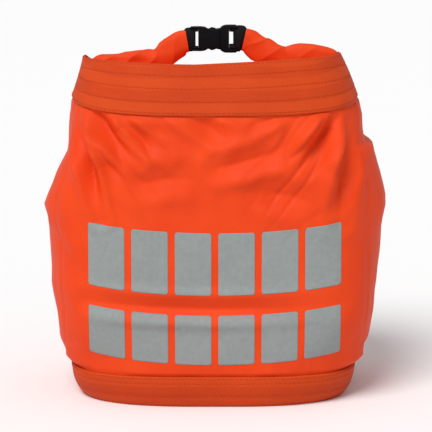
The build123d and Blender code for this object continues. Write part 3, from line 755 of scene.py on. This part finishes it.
# ------------------------------------------------------------------ rolled collar
def make_skirt():
    """Thin cloth from inside the mouth band, falling inward to the roll in soft gathers."""
    angles = even_angles(361, 3.6)
    shares = np.linspace(0, 1, 60)
    angle, share = np.meshgrid(angles, shares)
    rim = rim_plan(angle, np.full_like(share, 0.93))
    unit_x, unit_y = plan(angle, 3.2)
    inner_x = ROLL_END * 0.985 * unit_x
    inner_y = 6.0 * unit_y
    ease = share ** 1.15
    x = rim[..., 0] * 0.978 * (1 - ease) + inner_x * ease
    y = rim[..., 1] * 0.962 * (1 - ease) + inner_y * ease
    low = (ROLL_LOW + ROLL_HIGH) / 2 - 2.5
    sag = np.sin(math.pi * share) * 3.0
    z = rim[..., 2] * (1 - share ** 0.85) + low * share ** 0.85 - sag
    gather = np.sin(26 * angle + 2.0 * np.sin(3 * angle)) + 0.7 * np.sin(41 * angle + 1.3)
    depth = 1.5 * np.sin(math.pi * np.clip(share * 1.05, 0, 1)) ** 0.8
    z = z + gather * depth * 0.8 + 1.1 * grain(x, y, z, 16.0) * np.sin(math.pi * share)
    grid = np.stack([x, y, z], axis=-1)
    grid[:, -1] = grid[:, 0]
    obj = grid_object("collar_skirt_cloth", grid, lengths(grid, 1), lengths(grid, 0))
    thicken(obj, THIN_FABRIC)
    return obj, grid


def tube(name, stations, rings, columns, wrinkle):
    """A strip of folded cloth along stations of (x, y, z, thickness, height), with wrinkles in it."""
    stations = np.array(stations, dtype=float)
    steps = np.linalg.norm(np.diff(stations[:, :3], axis=0), axis=1)
    run = np.concatenate([[0.0], np.cumsum(steps)])
    share = np.linspace(0, run[-1], rings)
    lines = []
    for axis in range(5):
        values = np.interp(share, run, stations[:, axis])
        padded = np.pad(values, 4, mode="reflect", reflect_type="odd")
        lines.append(np.convolve(padded, np.ones(9) / 9, mode="valid"))
    centre = np.stack(lines[:3], axis=-1)
    tangent = np.gradient(centre, axis=0)
    tangent /= np.linalg.norm(tangent, axis=1, keepdims=True)
    depth_axis = np.array([0.0, 1.0, 0.0])
    height_axis = np.cross(tangent, depth_axis)
    height_axis /= np.linalg.norm(height_axis, axis=1, keepdims=True)
    turn = np.linspace(0, 2 * math.pi, columns + 1)
    unit_y, unit_h = plan(turn, 2.5)
    push = wrinkle(share[:, None] / run[-1], turn[None, :], share[:, None])
    half_t = lines[3][:, None] / 2 * unit_y[None, :] * (1 + push)
    half_h = lines[4][:, None] / 2 * unit_h[None, :] * (1 + 0.6 * push)
    grid = centre[:, None, :] + depth_axis * half_t[..., None] + height_axis[:, None, :] * half_h[..., None]
    grid[:, -1] = grid[:, 0]
    obj = grid_object(name, grid, lengths(grid, 1), lengths(grid, 0))
    shape = bmesh.new()
    shape.from_mesh(obj.data)
    bmesh.ops.holes_fill(shape, edges=[edge for edge in shape.edges if edge.is_boundary])
    bmesh.ops.recalc_face_normals(shape, faces=shape.faces)
    shape.to_mesh(obj.data)
    shape.free()
    return obj


def twisted(turns, amount, seed, closed=1.0):
    """Spiral creases of cloth that is twisted along its length, gone where its end is closed and sewn."""
    def wrinkle(share, turn, run):
        sharp = -np.abs(np.sin(1.5 * turn + turns * share * math.pi + seed)) ** 0.6
        second = 0.5 * np.sin(5 * turn - turns * 2.3 * share + seed * 2)
        lumps = 0.5 * np.sin(run / 7.0 + 2 * turn + seed)
        held_end = 1 - 0.85 * smooth(share, 0.84, 0.96) * closed
        return amount * held_end * (0.45 + 0.55 * share) * (sharp + 0.5 + 0.35 * second + 0.3 * lumps)
    return wrinkle


def make_roll():
    """The middle of the rolled collar, low in the mouth, with the rolled edge along it."""
    middle = (ROLL_LOW + ROLL_HIGH) / 2 - 1.5
    end = ROLL_END

    def wrinkle(share, turn, run):
        edge = -0.16 * np.exp(-((np.mod(turn - 1.1 - 0.5 * share, 2 * math.pi)) / 0.22) ** 2)
        return edge + 0.05 * np.sin(run / 9.0 + 2 * turn) + 0.04 * np.sin(run / 4.3 - 3 * turn)

    stations = [(-end, 0, middle, 15, 12), (-end * 0.6, 0.8, middle - 0.6, 19, 12.5),
                (0, -0.6, middle - 1.4, 20, 12.5), (end * 0.6, 0.8, middle - 0.6, 19, 12.5),
                (end, 0, middle, 15, 12)]
    return tube("collar_roll_cloth", stations, 180, 48, wrinkle)


def make_tabs():
    """The black webbing loops that go round the buckle's end bars and into the arms."""
    def wrinkle(_share, turn, run):
        return 0.012 * np.sin(turn * 2 + run / 3.0)

    left = [(-19.0, 0, 349.2, 5.2, 17.5), (-20.4, 0, 349.2, 7.4, 20.8), (-24, 0, 348.8, 8.2, 24.4),
            (-27, 0, 348.0, 8.0, 23.2), (-31, 0, 347.4, 7.0, 18.5), (-37, 0, 346.6, 6, 15)]
    right = [(18.0, 0, 349.5, 5.2, 18), (19.2, 0, 349.5, 7.6, 21.6), (22.5, 0, 349.8, 8.6, 26.4),
             (26.5, 0, 349.6, 8.4, 26.2), (29, 0, 349.0, 7.8, 22.0), (32, 0, 348.6, 7.2, 18.5),
             (38, 0, 347.2, 6, 15)]
    return [tube("tab_left_webbing", left, 70, 40, wrinkle),
            tube("tab_right_webbing", right, 70, 40, wrinkle)]


def make_tab_corners(side, near, far, name, top, bottom):
    """The bunched corners of a webbing loop, which fill the ends of the buckle's slot.

    top and bottom each give the corner's distance from the buckle's middle, and its height.
    """
    def wrinkle(_share, turn, run):
        return 0.02 * np.sin(turn * 3 + run)

    corners = []
    for (offset, height), place in ((top, "top"), (bottom, "bottom")):
        level = BUCKLE_MIDDLE + offset
        stations = [(side * far, 0, level, 5.8, 0.87 * height),
                    (side * (near + far) / 2, 0, level, 6.6, height),
                    (side * near, 0, level, 5.6, 0.85 * height)]
        corners.append(tube(f"{name}_{place}", stations, 24, 24, wrinkle))
    return corners


# Half height allowed at places along X
SOCKET_OUTLINE = [(-24.8, 11.2), (-23.4, 11.9), (-21.0, 12.1), (-14.0, 12.1), (-10.0, 11.5), (5.0, 11.5)]
PLUG_OUTLINE = [(5.4, 11.0), (7.0, 12.2), (9.0, 13.2), (11.5, 13.6), (19.0, 13.6), (22.0, 13.4),
                (24.0, 13.0)]
MOUTH_ROUNDING = 0.45          # what the smoothing takes off the socket's mouth, given back
BUCKLE_VOXEL = 0.34


def moulded(name, node, outline, reach=0.0):
    """A rounded copy of a buckle half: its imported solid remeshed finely, then its edges softened.

    outline slopes the shoulders, and reach moves the mouth's end along X.
    """
    mesh = frame["nodes"][node].data.copy()
    mesh.name = name
    obj = bpy.data.objects.new(name, mesh)
    bpy.context.collection.objects.link(obj)
    with bpy.context.temp_override(object=obj, active_object=obj, selected_objects=[obj]):
        bpy.context.view_layer.objects.active = obj
        remesh = obj.modifiers.new("skin", "REMESH")
        remesh.mode = "VOXEL"
        remesh.voxel_size = BUCKLE_VOXEL * MM
        bpy.ops.object.modifier_apply(modifier=remesh.name)
        soften = obj.modifiers.new("soften", "SMOOTH")
        soften.factor = 0.5
        soften.iterations = 7
        bpy.ops.object.modifier_apply(modifier=soften.name)
    points = np.empty(len(obj.data.vertices) * 3)
    obj.data.vertices.foreach_get("co", points)
    points = points.reshape(-1, 3)
    places, limits = np.array(outline).T
    height = points[:, 2] / MM - BUCKLE_MIDDLE
    limit = np.interp(points[:, 0] / MM, places, limits)
    points[:, 2] = (BUCKLE_MIDDLE + np.sign(height) * np.minimum(np.abs(height), limit)) * MM
    points[:, 0] += reach * MM * smooth(points[:, 0] / MM, 2.0, 4.5)
    obj.data.vertices.foreach_set("co", points.ravel())
    for polygon in obj.data.polygons:
        polygon.use_smooth = True
    return obj


def make_arms():
    """The two raised ends of the roll; the right one is in two lengths that meet in a fold.

    Each starts in the roll, folds back over its end, and climbs to its buckle tab.
    """
    middle = (ROLL_LOW + ROLL_HIGH) / 2 - 1.0
    end = ROLL_END
    left = [(-end + 8, 0, middle, 15, 12), (-end - 4, 0, middle + 1, 14, 13),
            (-end - 13, 0, middle + 7, 13, 14), (-end - 10, 0, middle + 12, 15, 11),
            (-94, 0, 328, 17, 14), (-77, 0, 329.4, 17, 18),
            (-66, 0, 329.0, 16, 19), (-59, 0, 328.6, 15.5, 20.5), (-53, 0, 330.6, 15, 23.5),
            (-46, 0, 335.6, 14, 26), (-39, 0, 341.6, 13, 26), (-33, 0, 346.2, 12, 23.5),
            (-27.0, 0, 347.2, 12, 21.6)]
    right_outer = [(end - 8, 0, middle, 15, 12), (end + 4, 0, middle + 1, 14, 13),
                   (end + 14, 0, middle + 8, 13, 15), (end + 12, 0, middle + 15, 15, 15),
                   (108, 0, 332.5, 17, 19), (97, 0, 333.5, 18, 22), (85, 0, 334, 18, 22),
                   (75, 0, 332.5, 16, 21), (67, 0, 332.6, 12, 18)]
    right_inner = [(80, 0, 331.0, 12, 16), (70, 0, 331.2, 15, 19.5), (60, 0, 333.2, 15.5, 23),
                   (52, 0, 336.2, 15, 26), (45, 0, 338.6, 14, 26), (38, 0, 343.4, 13, 25.0),
                   (33, 0, 347.6, 12, 23.0), (28.6, 0, 348.6, 12, 22.4)]
    return [
        tube("arm_left_cloth", left, 150, 64, twisted(5.0, 0.24, 0.4)),
        tube("arm_right_outer_cloth", right_outer, 120, 64, twisted(2.5, 0.14, 1.9, closed=0.0)),
        tube("arm_right_inner_cloth", right_inner, 70, 64, twisted(2.6, 0.22, 4.1)),
    ]


# ------------------------------------------------------------------ camera, floor and light
AIM = Vector((0.0011, 0.0, 0.172))             # the point the camera looks at, in metres
ELEVATION = math.radians(10.0)
DISTANCE = 2.1                                 # from the camera to that point, in metres
FRAME_WIDTH = 0.432                            # what the picture spans there, in metres
SENSOR = 36.0
FLOOR_HALF = 60.0                              # half the floor's side, in metres
FLOOR_TONE = 0.93
STUDIO_LIGHT = 0.47
KEY_LIGHT = 2.45
KEY_SOFTNESS = math.radians(30)
KEY_DIRECTION = Vector((0.32, 0.62, -0.85))    # the way the light travels


def make_camera():
    """A long lens, straight in front of the bag and a little above it."""
    data = bpy.data.cameras.new("camera")
    camera = bpy.data.objects.new("camera", data)
    bpy.context.collection.objects.link(camera)
    camera.location = AIM + Vector((0, -math.cos(ELEVATION), math.sin(ELEVATION))) * DISTANCE
    camera.rotation_mode = "QUATERNION"
    camera.rotation_quaternion = (AIM - camera.location).to_track_quat("-Z", "Y")
    data.sensor_width = SENSOR
    data.lens = SENSOR * DISTANCE / FRAME_WIDTH
    bpy.context.scene.camera = camera


def make_floor():
    """A plain pale floor that reaches past the picture on every side."""
    mesh = bpy.data.meshes.new("floor")
    corners = [(-1, -1), (1, -1), (1, 1), (-1, 1)]
    mesh.from_pydata([(x * FLOOR_HALF, y * FLOOR_HALF, 0) for x, y in corners], [], [(0, 1, 2, 3)])
    floor = bpy.data.objects.new("floor", mesh)
    bpy.context.collection.objects.link(floor)
    material, _, _, shader = new_material("pale_floor")
    shader.inputs["Base Color"].default_value = (FLOOR_TONE, FLOOR_TONE, FLOOR_TONE, 1)
    shader.inputs["Roughness"].default_value = 0.9
    mesh.materials.append(material)


def make_lights():
    """White light from all round, and one broad soft light from the upper left."""
    world = bpy.data.worlds.new("studio")
    bpy.context.scene.world = world
    world.use_nodes = True
    background = world.node_tree.nodes["Background"]
    background.inputs["Color"].default_value = (1, 1, 1, 1)
    background.inputs["Strength"].default_value = STUDIO_LIGHT
    key = bpy.data.lights.new("key", "SUN")
    key.energy = KEY_LIGHT
    key.angle = KEY_SOFTNESS
    key_light = bpy.data.objects.new("key", key)
    key_light.rotation_mode = "QUATERNION"
    key_light.rotation_quaternion = KEY_DIRECTION.to_track_quat("-Z", "Y")
    bpy.context.collection.objects.link(key_light)
    bpy.context.scene.view_settings.view_transform = "Standard"


# ------------------------------------------------------------------ build
make_camera()
make_floor()
make_lights()

for part in frame["record"]["subparts"]:
    finish = SLOT_MATERIALS[part["material_slot"]]
    node_mesh = frame["nodes"][part["node"]].data
    node_mesh.materials.clear()
    node_mesh.materials.append(finish)

bag, bag_grid = make_bag()
bag_tree = BVHTree.FromObject(bag, bpy.context.evaluated_depsgraph_get())
make_reflective_row("reflective_row_upper", bag_tree)
make_reflective_row("reflective_row_lower", bag_tree)
thicken(bag, FABRIC)
dress(bag, NYLON, "coated_nylon", BAG, "bag_front_panel", "bag_back_panel", "bag_gusset_left",
      "bag_gusset_right")

make_band("mouth_band_webbing", rim_plan, 1.0, "mouth_band")
make_band("base_band_webbing", foot_plan, BASE_BAND_SHOWS, "base_band")

base_panel = make_base_panel()
dress(base_panel, NYLON, "coated_nylon", BAG, "base_panel")

skirt, skirt_grid = make_skirt()
dress(skirt, NYLON, "coated_nylon", BAG, "collar_skirt")

roll = make_roll()
dress(roll, NYLON, "coated_nylon", BAG, "collar_roll")
arm_left, arm_right_outer, arm_right_inner = make_arms()
dress(arm_left, NYLON, "coated_nylon", None, "collar_arm_left")
dress(arm_right_outer, NYLON, "coated_nylon", None, "collar_arm_right")
dress(arm_right_inner, NYLON, "coated_nylon", None)
tab_left, tab_right = make_tabs()
dress(tab_left, TAB_WEBBING, "black_webbing", LOOP, "buckle_tab_left")
dress(tab_right, TAB_WEBBING, "black_webbing", MALE, "buckle_tab_right")
for corner in make_tab_corners(-1, 16.5, 22.0, "tab_left_corner", (8.7, 4.0), (-8.9, 3.8)):
    dress(corner, TAB_WEBBING, "black_webbing", LOOP)
for corner in make_tab_corners(1, 14.1, 20.5, "tab_right_corner", (8.8, 4.3), (-7.9, 6.2)):
    dress(corner, TAB_WEBBING, "black_webbing", MALE)
buckle_socket = moulded("buckle_socket", "buckle_female", SOCKET_OUTLINE, MOUTH_ROUNDING)
dress(buckle_socket, PLASTIC, "buckle_plastic", LOOP, "buckle_female")
buckle_plug = moulded("buckle_plug", "buckle_male", PLUG_OUTLINE)
dress(buckle_plug, PLASTIC, "buckle_plastic", MALE, "buckle_male")
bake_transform(arm_left)
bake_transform(arm_right_outer)
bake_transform(arm_right_inner)
